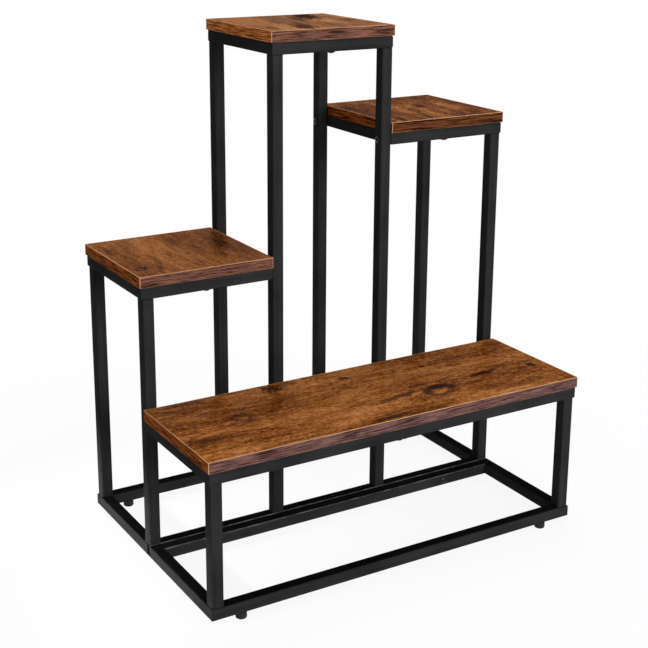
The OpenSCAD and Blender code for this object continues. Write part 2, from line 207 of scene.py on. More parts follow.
# Base frames
# Two frames on the floor side, each four mitred rails of 20 mm square steel tube.
# The corners are welded, ground nearly flush outside, and covered with black powder coat.
SIDES = ("front", "right", "back", "left")
SIDE_COAT = (0.0246, 0.0249, 0.0251)
# Painted shade: a darker colour for the coat's level tops, also used on the edges of the rear frame's welds.
PAINTED_SHADE_COAT = (0.0040, 0.0041, 0.0042)
EDGE_COAT = (0.0120, 0.0122, 0.0124)
# Painted highlight: a light colour on the seam rails' rounded edges, in place of the light they catch.
SEAM_HIGHLIGHT_COAT = (0.18, 0.18, 0.184)
COAT_ROUGH, TOP_ROUGHER = (0.64, 0.78), 0.20
COAT_GLOSS = 0.003
PEEL_SCALE, PEEL_HEIGHT, WELD_PEEL_HEIGHT = 620.0, 0.10 * MM, 0.20 * MM
COAT_EDGE = 3.2
TONE_SCALE, GLOSS_SCALE = 9.0, 45.0
EDGE_FOUND, EDGE_GIVEN = (0.35, 0.65), (0.25, 1.0)
# Streaks and slow tone added up, from the least to the most, and the shares of the coat's colour they give.
STREAK_SHARE = 0.7
TONE_FOUND, TONE_GIVEN = (0.55, 1.15), (0.66, 1.36)
# Along Y, where the rear frame's side turns into the seam: as far as it is dark, and where it is clear.
SEAM_SHADE = (7 * MM, 12 * MM)
SEAM_DARKEST = 0.05
# Where most of a noise's values lie.
NOISE_SPAN = (0.3, 0.7)
# How level a face is where it begins to count as a top, and where it is one.
TOP_SPAN = (0.55, 0.98)


def material(name):
    """A new material with a Principled shader; returns the material, its tree and the shader."""
    made = bpy.data.materials.new(name)
    made.use_nodes = True
    tree = made.node_tree
    tree.nodes.clear()
    shader = node(tree, "ShaderNodeBsdfPrincipled", (900, 0))
    node(tree, "ShaderNodeOutputMaterial", (1200, 0), Surface=shader.outputs[0])
    return made, tree, shader


def group_tree(name, inputs, outputs, kind="ShaderNodeTree"):
    """A node group; inputs are (name, socket type, default) and outputs are (name, socket type)."""
    tree = bpy.data.node_groups.new(name, kind)
    for label, socket_kind, default in inputs:
        socket = tree.interface.new_socket(label, in_out="INPUT", socket_type="NodeSocket" + socket_kind)
        if default is not None:
            socket.default_value = default
    for label, socket_kind in outputs:
        tree.interface.new_socket(label, in_out="OUTPUT", socket_type="NodeSocket" + socket_kind)
    return tree, node(tree, "NodeGroupInput", (-1400, 0)), node(tree, "NodeGroupOutput", (1400, 0))


def use_group(tree, group, at, vector, **values):
    """Places a shader group on a vector, with its other inputs set by name. Returns its outputs."""
    return node(tree, "ShaderNodeGroup", at, node_tree=group, Vector=vector, **values).outputs


def blend(tree, at, factor, a, b):
    """A colour Mix node; factor is a number and a and b are colours, or outputs. Returns its output."""
    made = node(tree, "ShaderNodeMix", at, data_type="RGBA")
    give(tree, made.inputs[0], factor)
    for socket, colour in ((made.inputs[6], a), (made.inputs[7], b)):
        give(tree, socket, (*colour, 1) if isinstance(colour, tuple) else colour)
    return made.outputs[2]


def noise(tree, at, vector, scale, detail=2.0, rough=0.5, kind="Fac"):
    made = node(tree, "ShaderNodeTexNoise", at, Vector=vector, Scale=scale, Detail=detail, Roughness=rough)
    return made.outputs[kind]


def stretched(tree, at, vector, scale):
    """The vector scaled by its own number along each axis, which draws a pattern out."""
    return vector_maths(tree, "MULTIPLY", at, vector, scale)


def bump(tree, at, height, strength, distance):
    return node(tree, "ShaderNodeBump", at, Strength=strength, Distance=distance, Height=height).outputs[0]


# How a face lies: Edge is 1 on a rounded edge between two of the stand's directions, Top is 1 on a level top.
lie_group, lie_in, lie_out = group_tree(
    "how_a_face_lies", [("Vector", "Vector", None), ("Edge Gain", "Float", COAT_EDGE)],
    [("Edge", "Float"), ("Top", "Float")])
faces = node(lie_group, "ShaderNodeSeparateXYZ", (-1200, 0), Vector=lie_in.outputs["Vector"]).outputs
along = [maths(lie_group, "ABSOLUTE", (-1000, 200 - 200 * i), part) for i, part in enumerate(faces)]
wider = maths(lie_group, "MAXIMUM", (-800, 100), along[0], along[1])
widest = maths(lie_group, "MAXIMUM", (-600, 0), wider, along[2])
off_axis = maths(lie_group, "SUBTRACT", (-400, 0), 1.0, widest)
feed(lie_group, lie_out,
     Edge=maths(lie_group, "MULTIPLY", (-200, 0), off_axis, lie_in.outputs["Edge Gain"], clamp=True),
     Top=spread(lie_group, (-200, -300), faces["Z"], *TOP_SPAN))

# The skin of powder coat: slow changes of tone and gloss, and fine orange peel.
coat_group, coat_in, coat_out = group_tree(
    "powder_skin", [("Vector", "Vector", None), ("Peel Scale", "Float", PEEL_SCALE)],
    [("Tone", "Float"), ("Peel", "Float"), ("Gloss", "Float")])
coat_vector = coat_in.outputs["Vector"]
feed(coat_group, coat_out, Tone=noise(coat_group, (-600, 200), coat_vector, TONE_SCALE, 3.0),
     Peel=noise(coat_group, (-600, 0), coat_vector, coat_in.outputs["Peel Scale"]),
     Gloss=noise(coat_group, (-600, -200), coat_vector, GLOSS_SCALE, 4.0))


def surface(tree, peel_scale, edge_gain):
    """Reads a piece's own place, the skin of its coat there, and how the face lies."""
    coords = node(tree, "ShaderNodeTexCoord", (-1200, 0)).outputs
    skin = use_group(tree, coat_group, (-900, 0), coords["Object"], Peel_Scale=peel_scale)
    lie = use_group(tree, lie_group, (-900, -300), coords["Normal"], Edge_Gain=edge_gain)
    return coords["Object"], skin, lie


def powder_coat(name, draw, edge_coat=EDGE_COAT, peel_height=PEEL_HEIGHT, shade=None):
    """Black powder coat; draw scales the faint streaks of the drawn tube, small along its length.

    Where shade is given, the coat is darkest up to its first Y and clear from its second.
    """
    made, tree, shader = material(name)
    place, skin, lie = surface(tree, PEEL_SCALE, COAT_EDGE)
    streak = noise(tree, (-600, 300), stretched(tree, (-900, 300), place, draw), 1.0, 3.0)
    streak_part = maths(tree, "MULTIPLY", (-500, 200), streak, STREAK_SHARE)
    tone = maths(tree, "ADD", (-400, 200), streak_part, skin["Tone"])
    level = spread(tree, (-200, 200), tone, *TONE_FOUND, *TONE_GIVEN, "LINEAR")
    if shade:
        parts = node(tree, "ShaderNodeSeparateXYZ", (-600, 500), Vector=place).outputs
        clear = spread(tree, (-400, 500), parts["Y"], *shade, SEAM_DARKEST, 1.0)
        level = maths(tree, "MULTIPLY", (-100, 400), level, clear)
    # Painted shade: level tops take the darker colour.
    plain = blend(tree, (-200, 0), lie["Top"], SIDE_COAT, PAINTED_SHADE_COAT)
    shaded = vector_maths(tree, "SCALE", (0, 100), plain, scale=level)
    # The rounded edges' colour: darker on most coats, plain on the other welds, a painted highlight on the
    # seam rails and painted shade on the rear frame's welds.
    edge_amount = spread(tree, (-200, -300), skin["Gloss"], *EDGE_FOUND, *EDGE_GIVEN)
    edge_share = maths(tree, "MULTIPLY", (0, -200), lie["Edge"], edge_amount)
    rough = spread(tree, (300, -100), skin["Gloss"], *NOISE_SPAN, *COAT_ROUGH)
    rough_part = maths(tree, "MULTIPLY", (400, -200), lie["Top"], TOP_ROUGHER)
    feed(tree, shader, Base_Color=blend(tree, (300, 100), edge_share, shaded, edge_coat),
         Roughness=maths(tree, "ADD", (500, -100), rough, rough_part),
         Normal=bump(tree, (600, -300), skin["Peel"], 0.35, peel_height), Specular_IOR_Level=COAT_GLOSS)
    return made


def finish_node(name, finish):
    """Gives a CAD piece its finish, and leaves its shape alone."""
    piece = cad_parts[name]
    piece.data.materials.clear()
    piece.data.materials.append(finish)


# How closely the streaks follow one another along a tube and across it.
ALONG, ACROSS = 5.0, 240.0
ALL_WAYS = (ACROSS, ACROSS, ACROSS)
coat_on_x_rails = powder_coat("coat_on_front_rails", (ALONG, ACROSS, ACROSS))
coat_on_y_rails = powder_coat("coat_on_side_rails", (ACROSS, ALONG, ACROSS))
# The seam rails' edges carry a painted highlight.
coat_on_seam_rails = powder_coat("coat_on_seam_rails", (ALONG, ACROSS, ACROSS), SEAM_HIGHLIGHT_COAT)
coat_on_seam_ends = powder_coat("coat_on_seam_ends", (ACROSS, ALONG, ACROSS), shade=SEAM_SHADE)
coat_on_welds = powder_coat("coat_on_welds", ALL_WAYS, SIDE_COAT, WELD_PEEL_HEIGHT)
# The rear frame's welds: painted shade on their edges and along the seam.
coat_on_seam_welds = powder_coat("coat_on_seam_welds", ALL_WAYS, PAINTED_SHADE_COAT, WELD_PEEL_HEIGHT, SEAM_SHADE)


def finish_rails(whole):
    for side in SIDES:
        finish_node(f"{whole}_rail_{side}", coat_on_x_rails if side in ("front", "back") else coat_on_y_rails)


finish_rails("front_base")
finish_rails("rear_base")
finish_node("front_base_rail_back", coat_on_seam_rails)
finish_node("rear_base_rail_front", coat_on_seam_rails)
finish_node("rear_base_rail_left", coat_on_seam_ends)
finish_node("rear_base_rail_right", coat_on_seam_ends)

# Legs
# Ten straight lengths of the same square tube, between the base frames and the top frames.
# A bolt through the frame's wall pulls each end tight on a threaded plug.
LEGS = ("bench_leg_left", "bench_leg_right", "left_leg_front", "left_leg_rear",
        "centre_leg_front_left", "centre_leg_rear_left", "centre_leg_front_right",
        "centre_leg_rear_right", "right_leg_front", "right_leg_rear")
coat_on_legs = powder_coat("coat_on_legs", (ACROSS, ACROSS, ALONG))
for leg in LEGS:
    finish_node(leg, coat_on_legs)

# Top frames
# One welded frame of the same tube under each board, made like the base frames.
# Each rests on its own legs, and is bolted to its neighbours' legs where it has none.
for whole in ("bench_top", "left_top", "centre_top", "right_top"):
    finish_rails(whole)

# Weld beads
# A rippled fillet in each inner corner, a slim bead along each outer corner, and ground diagonals
# over the mitres that no leg covers. They lie under the powder coat with the tube.
FILLET_R, FILLET_SUNK = 2.4 * MM, 0.8 * MM
CORNER_R, CORNER_SUNK, CORNER_PAST = 1.0 * MM, 0.72 * MM, 0.5 * MM
SEAM_R, SEAM_SUNK, SEAM_SHORT = 1.2 * MM, 1.04 * MM, 1.2 * MM
TUBE_ROUND = 2.5 * MM
TOUCHING = 1.0 * MM
# A bead narrows to TAPER_END of its size over its last TAPER_LENGTH.
TAPER_LENGTH, TAPER_END = 1.6 * MM, 0.55
UNEVEN_SCALE, UNEVEN_TURNS = 260.0, 1.5


def geometry_group(name, inputs):
    """A Geometry Nodes tree that takes and gives geometry, with its other inputs named."""
    return group_tree(name, [("Geometry", "Geometry", None), *inputs], [("Geometry", "Geometry")],
                      "GeometryNodeTree")


def chain(tree, *steps):
    """Links each step's geometry output to the next one's geometry input; ends may be sockets."""
    for before, after in zip(steps, steps[1:]):
        source = before if isinstance(before, bpy.types.NodeSocket) else before.outputs[0]
        target = after if isinstance(after, bpy.types.NodeSocket) else after.inputs[0]
        tree.links.new(source, target)


def grown(name, host_mesh, tree, **values):
    """Runs a Geometry Nodes tree on a host mesh and returns the result as a plain object."""
    host = in_scene(name + "_host", host_mesh)
    modifier = host.modifiers.new("grow", "NODES")
    modifier.node_group = tree
    for item in tree.interface.items_tree:
        key = item.name.replace(" ", "_")
        if item.item_type == "SOCKET" and item.in_out == "INPUT" and key in values:
            modifier[item.identifier] = values[key]
    evaluated = host.evaluated_get(bpy.context.evaluated_depsgraph_get())
    mesh = bpy.data.meshes.new_from_object(evaluated)
    mesh.name = name
    host.modifiers.remove(modifier)
    bpy.data.objects.remove(host)
    return in_scene(name, mesh)


# Rings follow each seam line; their radius ripples along it and tapers at both ends.
beads, bead_in, bead_out = geometry_group(
    "weld_bead", [("Ring Step", "Float", 0.4 * MM), ("Ripple Pitch", "Float", 1.4 * MM),
                  ("Ripple Depth", "Float", 0.07), ("Sides", "Int", 14), ("Seed", "Int", 1),
                  ("Finish", "Material", None)])
bead_given = bead_in.outputs
seam_curve = node(beads, "GeometryNodeMeshToCurve", (-1100, 200))
rings = node(beads, "GeometryNodeResampleCurve", (-900, 200), mode="LENGTH",
             Length=bead_given["Ring Step"])
bead_size = node(beads, "GeometryNodeInputNamedAttribute", (-1100, -100), data_type="FLOAT", Name="bead")
place_on = node(beads, "GeometryNodeSplineParameter", (-1100, -300)).outputs["Length"]
whole_length = node(beads, "GeometryNodeSplineLength", (-1100, -500)).outputs["Length"]
to_far_end = maths(beads, "SUBTRACT", (-900, -400), whole_length, place_on)
to_end = maths(beads, "MINIMUM", (-700, -400), place_on, to_far_end)
taper = spread(beads, (-500, -400), to_end, 0.0, TAPER_LENGTH, TAPER_END)
uneven = node(beads, "ShaderNodeTexNoise", (-900, -700), noise_dimensions="4D", W=bead_given["Seed"],
              Scale=UNEVEN_SCALE, Detail=1.0)
turns = maths(beads, "DIVIDE", (-900, -200), place_on, bead_given["Ripple Pitch"])
wander = maths(beads, "ADD", (-700, -200), turns, maths(
    beads, "MULTIPLY", (-700, -700), uneven.outputs[0], UNEVEN_TURNS))
wave = maths(beads, "ABSOLUTE", (-300, -200), maths(
    beads, "SINE", (-400, -200), maths(beads, "MULTIPLY", (-500, -200), wander, math.pi)))
ripple = maths(beads, "ADD", (0, -200), maths(
    beads, "MULTIPLY", (-150, -200), wave, bead_given["Ripple Depth"]), 1.0)
bead_radius = maths(beads, "MULTIPLY", (300, -200), maths(
    beads, "MULTIPLY", (150, -200), ripple, taper), bead_size.outputs["Attribute"])
bead_round = node(beads, "GeometryNodeCurvePrimitiveCircle", (450, 0), Resolution=bead_given["Sides"],
                  Radius=1.0)
swept = node(beads, "GeometryNodeCurveToMesh", (650, 200), Profile_Curve=bead_round.outputs[0],
             Scale=bead_radius, Fill_Caps=True)
bead_real = node(beads, "GeometryNodeRealizeInstances", (850, 200))
bead_finish = node(beads, "GeometryNodeSetMaterial", (1050, 200), Material=bead_given["Finish"])
chain(beads, bead_given["Geometry"], seam_curve, rings, swept, bead_real, bead_finish,
      bead_out.inputs["Geometry"])


def leg_covers(x, y, z):
    """True where a leg's end lies on a frame's face at that point."""
    for name in LEGS:
        low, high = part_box(name)
        if low.x < x < high.x and low.y < y < high.y and min(abs(low.z - z), abs(high.z - z)) < TOUCHING:
            return True
    return False


def smooth_shade(piece):
    for face in piece.data.polygons:
        face.use_smooth = True


def weld_frame(whole, seed, show_top, finish):
    """All beads of one frame as one piece."""
    corners = [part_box(f"{whole}_rail_{side}") for side in SIDES]
    low = Vector(min(c[0][i] for c in corners) for i in range(3))
    high = Vector(max(c[1][i] for c in corners) for i in range(3))
    tube = high.z - low.z
    points, seams, sizes = [], [], []

    def seam(start, end, size):
        seams.append((len(points), len(points) + 1))
        points.extend((start, end))
        sizes.extend((size, size))

    for x_out, x_in in ((low.x, 1), (high.x, -1)):
        for y_out, y_in in ((low.y, 1), (high.y, -1)):
            # The fillet and the outer bead run up the corner; the mitres' diagonals lie below and on top.
            bottom, top = low.z + TUBE_ROUND, high.z - TUBE_ROUND
            x, y = x_out + x_in * (tube - FILLET_SUNK), y_out + y_in * (tube - FILLET_SUNK)
            seam((x, y, bottom), (x, y, top), FILLET_R)
            x, y = x_out + x_in * CORNER_SUNK, y_out + y_in * CORNER_SUNK
            seam((x, y, bottom - CORNER_PAST), (x, y, top + CORNER_PAST), CORNER_R)
            levels = [(low.z, low.z + SEAM_SUNK)]
            if show_top:
                levels.append((high.z, high.z - SEAM_SUNK))
            for face_z, z in levels:
                if leg_covers(x_out + x_in * tube / 2, y_out + y_in * tube / 2, face_z):
                    continue
                near, far = TUBE_ROUND, tube - SEAM_SHORT
                seam((x_out + x_in * near, y_out + y_in * near, z),
                     (x_out + x_in * far, y_out + y_in * far, z), SEAM_R)
    lines = bpy.data.meshes.new(whole + "_seams")
    lines.from_pydata(points, seams, [])
    lines.attributes.new("bead", "FLOAT", "POINT").data.foreach_set("value", sizes)
    welds = grown(whole + "_welds", lines, beads, Seed=seed, Finish=finish)
    smooth_shade(welds)
    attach(welds, "stand")


for seed, whole in enumerate(("front_base", "rear_base", "bench_top", "left_top", "centre_top", "right_top")):
    weld_finish = coat_on_seam_welds if whole == "rear_base" else coat_on_welds
    weld_frame(whole, seed, whole.endswith("base"), weld_finish)

# Boards
# Four boards of 18 mm particle board under a brown wood print with knots and dark smears.
# Each is screwed from below through the middles of its frame's rails.
PRINT_DARK = (0.018, 0.0062, 0.0036)
PRINT_STOPS = ((0.0, (0.048, 0.010, 0.0012)), (0.22, (0.102, 0.023, 0.0022)), (0.5, (0.238, 0.073, 0.0120)),
               (0.78, (0.405, 0.148, 0.038)), (1.0, (0.560, 0.240, 0.080)))
PRINT_LIGHT = (0.43, 0.17, 0.052)
# Painted sheen: the print is washed towards this pale tan, most of all on the centre board.
SHEEN_TAN = (0.42, 0.26, 0.17)
BACKING = ((0.062, 0.024, 0.010), (0.150, 0.062, 0.026))
BACKING_FLECK = (0.045, 0.018, 0.009)
BOARD_ROUGH, BOARD_COAT_ROUGH = (0.66, 0.80), 0.24
PORE_DEPTH = 0.10 * MM
# Each part of the figure: how it is drawn out, its detail and roughness, and its share in the tone.
PRINT_FIGURE = (("Broad", (4.5, 17, 17), 4.0, 0.55, 1.4), ("Mottle", (22, 110, 110), 6.0, 0.62, 1.05),
                ("Grain", (60, 480, 480), 4.0, 0.62, 1.0), ("Speckle", (150, 210, 210), 3.0, 0.60, 1.25),
                ("Fleck", (520, 900, 900), 2.0, 0.50, 0.8))
DRIFT_SCALE = 14.0
# How a mark's ragged rim is drawn out, and how far it strays along and across the mark.
TEAR_DRAWN, TEAR_REACH = (55, 190, 0), (4, 4, 0)
# Where a smear begins and is full, and the same for how far a point lies from a knot's ring.
SMEAR_SPAN = (1.15, 0.40)
KNOT_RING, RING_SPAN = 0.80, (0.50, 0.10)
BACKING_SPAN, FLECK_SPAN, FLECK_SHOWN = (0.25, 0.75), (0.50, 0.75), 0.5


def turned(tree, at, vector, angle):
    """The vector turned about Z by an output's angle."""
    made = node(tree, "ShaderNodeVectorRotate", at, rotation_type="Z_AXIS", Vector=vector, Angle=angle)
    return made.outputs[0]


def about_zero(tree, at, colour, size):
    """A noise's colour as a vector about zero; size is an output."""
    middle = vector_maths(tree, "SUBTRACT", at, colour, (0.5, 0.5, 0.5))
    return vector_maths(tree, "SCALE", (at[0] + 150, at[1]), middle, scale=size)


def off_half(tree, at, value, share):
    """How far a value lies from a half, times a share."""
    return maths(tree, "MULTIPLY", at, maths(tree, "SUBTRACT", (at[0] - 100, at[1]), value, 0.5), share)


# The print itself: broad and fine figure drawn out along the grain, which runs left to right.
print_group, print_in, print_out = group_tree(
    "wood_print", [("Vector", "Vector", None), ("Turn", "Float", 0.0), ("Shift", "Vector", (0, 0, 0)),
                   ("Wobble", "Float", 0.006)], [(part, "Float") for part, *_ in PRINT_FIGURE])
print_given = print_in.outputs
grain_turned = turned(print_group, (-1400, -200), print_given["Vector"], print_given["Turn"])
shifted = vector_maths(print_group, "ADD", (-1200, 0), grain_turned, print_given["Shift"])
drift = noise(print_group, (-1000, -200), shifted, DRIFT_SCALE, 3.0, kind="Color")
wavy = vector_maths(print_group, "ADD", (-500, 0), shifted, about_zero(
    print_group, (-800, -200), drift, print_given["Wobble"]))
for i, (part, drawn, detail, rough, _) in enumerate(PRINT_FIGURE):
    part_lay = stretched(print_group, (-250, 400 - 250 * i), wavy, drawn)
    figure = noise(print_group, (0, 400 - 250 * i), part_lay, 1.0, detail, rough)
    feed(print_group, print_out, **{part: figure})

# A mark in the print: how far a point lies from its middle, 1 at its ragged rim.
mark_group, mark_in, mark_out = group_tree(
    "print_mark", [("Vector", "Vector", None), ("Place", "Vector", (0, 0, 0)), ("Turn", "Float", 0.0),
                   ("Size", "Vector", (1, 1, 0)), ("Ragged", "Float", 0.6)], [("Reach", "Float")])
mark_given = mark_in.outputs
from_place = vector_maths(mark_group, "SUBTRACT", (-1100, 0), mark_given["Vector"], mark_given["Place"])
mark_turned = turned(mark_group, (-900, 0), from_place, mark_given["Turn"])
mark_unit = vector_maths(mark_group, "MULTIPLY", (-700, 0), mark_turned, mark_given["Size"])
tear_turned = turned(mark_group, (-1300, -300), mark_given["Vector"], mark_given["Turn"])
tear_lay = stretched(mark_group, (-1100, -300), tear_turned, TEAR_DRAWN)
torn = about_zero(mark_group, (-700, -300), noise(
    mark_group, (-900, -300), tear_lay, 1.0, 4.0, 0.6, "Color"), mark_given["Ragged"])
ragged = vector_maths(mark_group, "MULTIPLY_ADD", (-300, 0), torn, TEAR_REACH, mark_unit)
feed(mark_group, mark_out, Reach=vector_maths(mark_group, "LENGTH", (-100, 0), ragged))


def printed_mark(tree, row, vector, colour, x, y, length, width, depth, turn, kind):
    """Prints one mark over the colour; x, y and its size are in mm, and kind is dark, light or knot."""
    across = row * 350
    size = (2 / (length * MM), 2 / (width * MM), 0)
    reach = use_group(tree, mark_group, (across, -900), vector, Place=(x * MM, y * MM, 0),
                      Turn=math.radians(-turn), Size=size)["Reach"]
    if kind == "knot":
        off_ring = maths(tree, "SUBTRACT", (across, -1050), reach, KNOT_RING)
        off_ring = maths(tree, "ABSOLUTE", (across, -1100), off_ring)
        mask = spread(tree, (across, -1150), off_ring, *RING_SPAN, 0.0, depth)
    else:
        mask = spread(tree, (across, -1150), reach, *SMEAR_SPAN, 0.0, depth)
    return blend(tree, (across, -1350), mask, colour, PRINT_LIGHT if kind == "light" else PRINT_DARK)


def laminate(name, marks, lift, swing, sheen_wash, turn=90, shift=(0.0, 0.0, 0.0), gloss=0.04):
    """The print of one board: how light and how contrasty it is, how far a painted sheen washes it pale, and
    its knots and smears.
    """
    made, tree, shader = material(name)
    coords = node(tree, "ShaderNodeTexCoord", (-1500, 0)).outputs
    figure = use_group(tree, print_group, (-1200, 0), coords["Object"], Turn=math.radians(turn), Shift=shift)
    tone = lift
    for i, (part, *_, share) in enumerate(PRINT_FIGURE):
        part_swing = off_half(tree, (-900, 300 - 150 * i), figure[part], share * swing)
        tone = maths(tree, "ADD", (-700, 300 - 150 * i), part_swing, tone)
    stops = node(tree, "ShaderNodeValToRGB", (-500, 200))
    while len(stops.color_ramp.elements) < len(PRINT_STOPS):
        stops.color_ramp.elements.new(0.5)
    for element, (place, colour) in zip(stops.color_ramp.elements, PRINT_STOPS):
        element.position = place
        element.color = (*colour, 1)
    tree.links.new(tone, stops.inputs[0])
    # Painted sheen: the print washed towards a pale tan.
    colour = blend(tree, (-200, 200), sheen_wash, stops.outputs[0], SHEEN_TAN)
    for row, one in enumerate(marks):
        colour = printed_mark(tree, row, coords["Object"], colour, **one)
    lie = use_group(tree, lie_group, (-900, -500), coords["Normal"])
    backing = blend(tree, (300, 0), spread(tree, (100, 0), figure["Grain"], *BACKING_SPAN), *BACKING)
    flecks = spread(tree, (100, -100), figure["Speckle"], *FLECK_SPAN, 0.0, FLECK_SHOWN)
    backing = blend(tree, (400, 0), flecks, backing, BACKING_FLECK)
    feed(tree, shader, Base_Color=blend(tree, (600, 200), lie["Top"], backing, colour),
         Roughness=spread(tree, (600, 0), figure["Mottle"], *NOISE_SPAN, *BOARD_ROUGH),
         Normal=bump(tree, (600, -200), figure["Grain"], 0.25, PORE_DEPTH),
         Specular_IOR_Level=0.0, Coat_Weight=gloss, Coat_Roughness=BOARD_COAT_ROUGH)
    return made


def mark(x, y, length, width, depth, turn=0.0, kind="dark"):
    return dict(x=x, y=y, length=length, width=width, depth=depth, turn=turn, kind=kind)


BENCH_MARKS = (
    mark(110, -161, 60, 38, 0.72, 4, "knot"), mark(108, -168, 34, 17, 0.75, 4, "light"),
    mark(112, -147, 66, 20, 0.95, -4), mark(87, -157, 22, 20, 0.75, 40), mark(136, -158, 16, 22, 0.60, -30),
    mark(46, -150, 72, 18, 0.82, 8), mark(6, -157, 50, 18, 0.55, 4), mark(92, -124, 60, 13, 0.70),
    mark(222, -133, 76, 20, 0.97, 2), mark(212, -133, 40, 12, 0.70, 4), mark(318, -141, 22, 17, 0.95),
    mark(290, -151, 22, 14, 0.50), mark(147, -54, 14, 13, 0.95), mark(-1, -37, 26, 11, 0.90, -22),
    mark(232, -46, 24, 9, 0.75, -15), mark(140, -96, 110, 12, 0.32), mark(230, -98, 140, 13, 0.34),
    mark(60, -52, 110, 11, 0.28), mark(-226, -102, 38, 30, 0.62, 0, "knot"), mark(-228, -92, 34, 14, 0.55),
    mark(-222, -122, 40, 13, 0.50), mark(-180, -114, 34, 30, 0.45), mark(-128, -18, 34, 44, 0.85, 70),
    mark(-100, -9, 70, 20, 0.60), mark(-136, -36, 26, 22, 0.60, 60), mark(-285, -12, 80, 26, 0.60),
    mark(-318, -32, 46, 20, 0.45), mark(-300, -160, 80, 34, 0.58), mark(-332, -150, 34, 18, 0.40),
    mark(-150, -72, 34, 13, 0.40), mark(-30, -218, 110, 14, 0.80), mark(-20, -208, 50, 13, 0.50),
    mark(72, -218, 70, 11, 0.50), mark(-200, -222, 130, 10, 0.50), mark(325, -20, 44, 22, 0.50),
    mark(262, -205, 120, 28, 0.42), mark(180, -192, 70, 16, 0.30), mark(270, -118, 70, 12, 0.40),
    mark(-20, -80, 70, 10, 0.28), mark(152, -124, 70, 10, 0.45), mark(70, -88, 80, 16, 0.30, 0, "light"),
    mark(-60, -172, 110, 26, 0.28, 0, "light"), mark(115, -196, 90, 16, 0.34, 0, "light"),
    mark(-300, -66, 70, 30, 0.30, 0, "light"), mark(180, -150, 60, 14, 0.30, 0, "light"))
# Left board: the third to sixth marks lie in one dark diagonal streak, a smear in the print that is in part a
# painted reflection of the nearby leg.
LEFT_MARKS = (
    mark(-326, 44, 24, 20, 0.85, 0, "knot"), mark(-326, 46, 9, 7, 0.60), mark(-148, 130, 130, 22, 0.70, 66),
    mark(-139, 122, 26, 15, 0.80, 80), mark(-176, 62, 50, 20, 0.50, 76), mark(-126, 190, 50, 18, 0.60, 70),
    mark(-290, 195, 90, 34, 0.35, 80), mark(-332, 165, 44, 18, 0.50, 85), mark(-285, 75, 100, 13, 0.42, 84),
    mark(-252, 100, 70, 13, 0.38, 80), mark(-215, 180, 70, 26, 0.30, 85), mark(-296, 36, 34, 12, 0.60, 85),
    mark(-225, 40, 50, 12, 0.38, 80), mark(-240, 150, 80, 14, 0.30, 84, "light"),
    mark(-232, 76, 80, 12, 0.30, 82, "light"))
CENTRE_MARKS = (
    mark(58, 192, 150, 56, 0.98, 76), mark(30, 178, 130, 40, 0.55, 70), mark(-34, 34, 90, 46, 0.88, 74),
    mark(-20, 78, 70, 30, 0.55, 70), mark(8, 36, 60, 26, 0.30, 76),
    mark(92, 110, 60, 28, 0.65, 80), mark(16, 150, 96, 20, 0.45, 84), mark(-90, 45, 60, 18, 0.55, 85),
    mark(28, 75, 80, 16, 0.42, 82), mark(-70, 120, 80, 16, 0.30, 84), mark(96, 40, 40, 16, 0.50, 80),
    mark(-50, 170, 110, 30, 0.35, 84, "light"), mark(40, 110, 90, 18, 0.35, 78, "light"),
    mark(-84, 150, 170, 60, 0.40, 82, "light"))
RIGHT_MARKS = (
    mark(257, 126, 54, 18, 0.90, 80), mark(218, 80, 90, 26, 0.60, 78), mark(148, 24, 50, 16, 0.72, 80),
    mark(206, 34, 54, 18, 0.70, 82), mark(128, 160, 70, 30, 0.62, 80), mark(306, 200, 100, 28, 0.55, 80),
    mark(180, 190, 90, 22, 0.45, 82), mark(276, 30, 70, 16, 0.42, 84), mark(240, 170, 80, 16, 0.50, 80),
    mark(190, 120, 50, 14, 0.50, 80), mark(300, 90, 110, 30, 0.40, 82, "light"),
    mark(268, 60, 60, 18, 0.35, 80, "light"))
finish_node("bench_board", laminate("bench_print", BENCH_MARKS, lift=0.545, swing=1.0, sheen_wash=0.01, turn=0))
finish_node("left_board", laminate(
    "left_print", LEFT_MARKS, lift=0.455, swing=0.74, sheen_wash=0.06, shift=(1.7, 0.6, 0.0)))
finish_node("centre_board", laminate(
    "centre_print", CENTRE_MARKS, lift=0.51, swing=1.25, sheen_wash=0.22, shift=(3.1, 2.2, 0.0), gloss=0.022))
finish_node("right_board", laminate(
    "right_print", RIGHT_MARKS, lift=0.315, swing=1.25, sheen_wash=0.04, shift=(4.6, 1.3, 0.0)))

# Edge bands
# A 1 mm plastic band glued round each board, printed with darker, wavy stripes.
# It is trimmed with a small round at the arrises, where its lighter core shows.
BAND_T = 1.0 * MM
ARRIS_R = 0.6 * MM
BAND_CORNER_R = 1.3 * MM
ARC_STEPS = 4
LOWER_ARRIS_SHOWN = 0.35
COOL_BROWN = (0.072, 0.050, 0.060)
BAND_CORE = (0.86, 0.49, 0.26)
PURPLE_BROWN = ((0.028, 0.010, 0.008), (0.228, 0.112, 0.092))
PLUM_BROWN = ((0.028, 0.009, 0.005), (0.262, 0.108, 0.068))
RED_BROWN = ((0.010, 0.003, 0.001), (0.165, 0.052, 0.018))
ORANGE_BROWN = ((0.045, 0.006, 0.001), (0.405, 0.110, 0.018))
# Painted light: the centre band's sides, a lighter copy of the orange brown, as if more brightly lit.
LIT_ORANGE_BROWN = ((0.150, 0.034, 0.006), (0.800, 0.270, 0.075))
BAND_ROUGH, BAND_GLOSS, STRIPE_DEPTH = (0.62, 0.76), 0.01, 0.12 * MM
COOL_SPAN, CORE_WORN = (0.42, 0.68), (0.70, 1.0)
# How the figure lies along and up a band, and what grain, stripes and mottle each add to its tone.
BAND_LAY = (1.3, 3.2, 1)
GRAIN_SHARE, STRIPE_SHARE, MOTTLE_SHARE, SIDE_MOTTLE_SHARE = 2.4, 4.4, 1.2, 2.6


